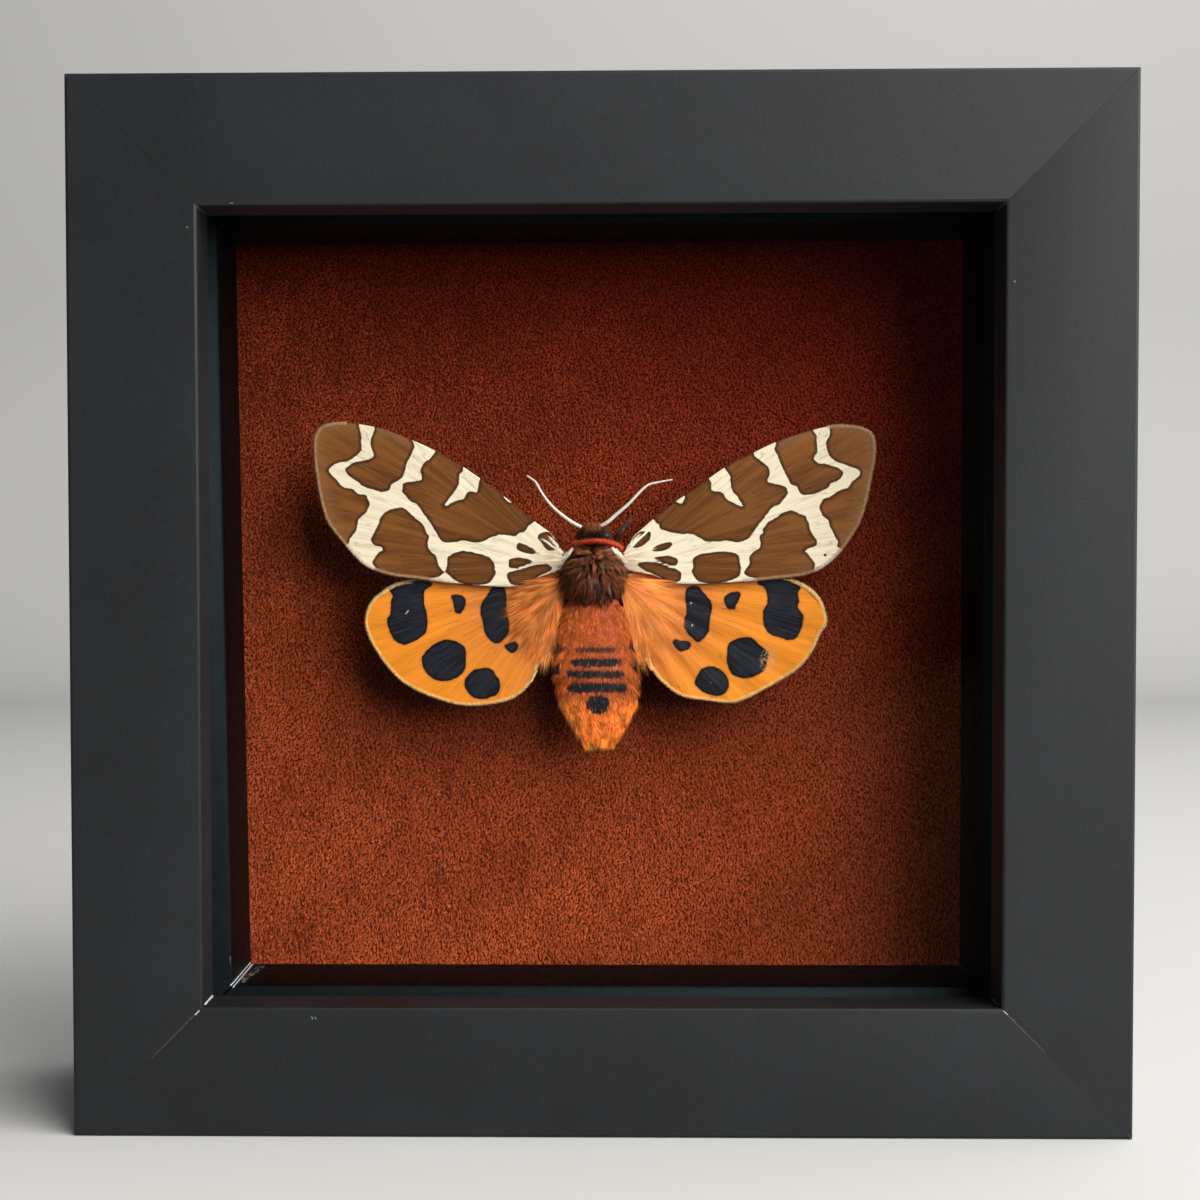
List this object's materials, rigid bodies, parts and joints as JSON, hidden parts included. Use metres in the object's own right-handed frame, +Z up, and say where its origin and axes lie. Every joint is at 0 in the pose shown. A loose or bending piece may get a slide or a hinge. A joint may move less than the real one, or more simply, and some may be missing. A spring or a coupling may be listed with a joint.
{
  "type": "framed moth specimen",
  "caption": "Square black box frame with glass, holding a spread tiger moth with patterned wings pinned over rust-brown velvet.",
  "frame": {"origin": "middle of the frame's underside, where it stands on a shelf", "axes": "+Z up, -Y out through the glass towards the viewer, +X to the viewer's right"},
  "size_m": [0.125, 0.035, 0.125],
  "materials": {
    "frame_foil": "matt charcoal-black foil over a wooden moulding",
    "pane": "clear, polished",
    "strip": "black, semi-matt",
    "velvet": "rust-brown velvet with a short pile",
    "card": "plain grey board",
    "hardboard": "brown hardboard",
    "steel": "plain steel",
    "forewing": "fine scales, brown patches on cream",
    "hindwing": "fine scales, orange with blue-black spots",
    "dark_fur": "long brown fur",
    "orange_fur": "soft orange-red fur with dark bars",
    "antenna": "ivory-white, matt",
    "leg": "dark, matt"
  },
  "bodies": {
    "root": {"frame_bottom": "frame_foil", "frame_left": "frame_foil", "frame_right": "frame_foil", "frame_top": "frame_foil", "glass_pane": "pane", "spacer_bottom": "strip", "spacer_left": "strip", "spacer_right": "strip", "spacer_top": "strip", "velvet": "velvet", "mount_board": "card", "back_panel": "hardboard", "frame_point_1": "steel", "frame_point_2": "steel", "frame_point_3": "steel", "frame_point_4": "steel", "frame_point_5": "steel", "frame_point_6": "steel", "frame_point_7": "steel", "frame_point_8": "steel", "sawtooth_hanger": "steel", "hanger_rivet_left": "steel", "hanger_rivet_right": "steel", "insect_pin": "steel", "forewing_left": "forewing", "forewing_right": "forewing", "hindwing_left": "hindwing", "hindwing_right": "hindwing", "thorax": "dark_fur", "head": "dark_fur", "abdomen": "orange_fur", "antenna_left": "antenna", "antenna_right": "antenna", "foreleg_left": "leg", "foreleg_right": "leg", "middle_leg_left": "leg", "middle_leg_right": "leg", "hind_leg_left": "leg", "hind_leg_right": "leg"}
  },
  "joints": []
}
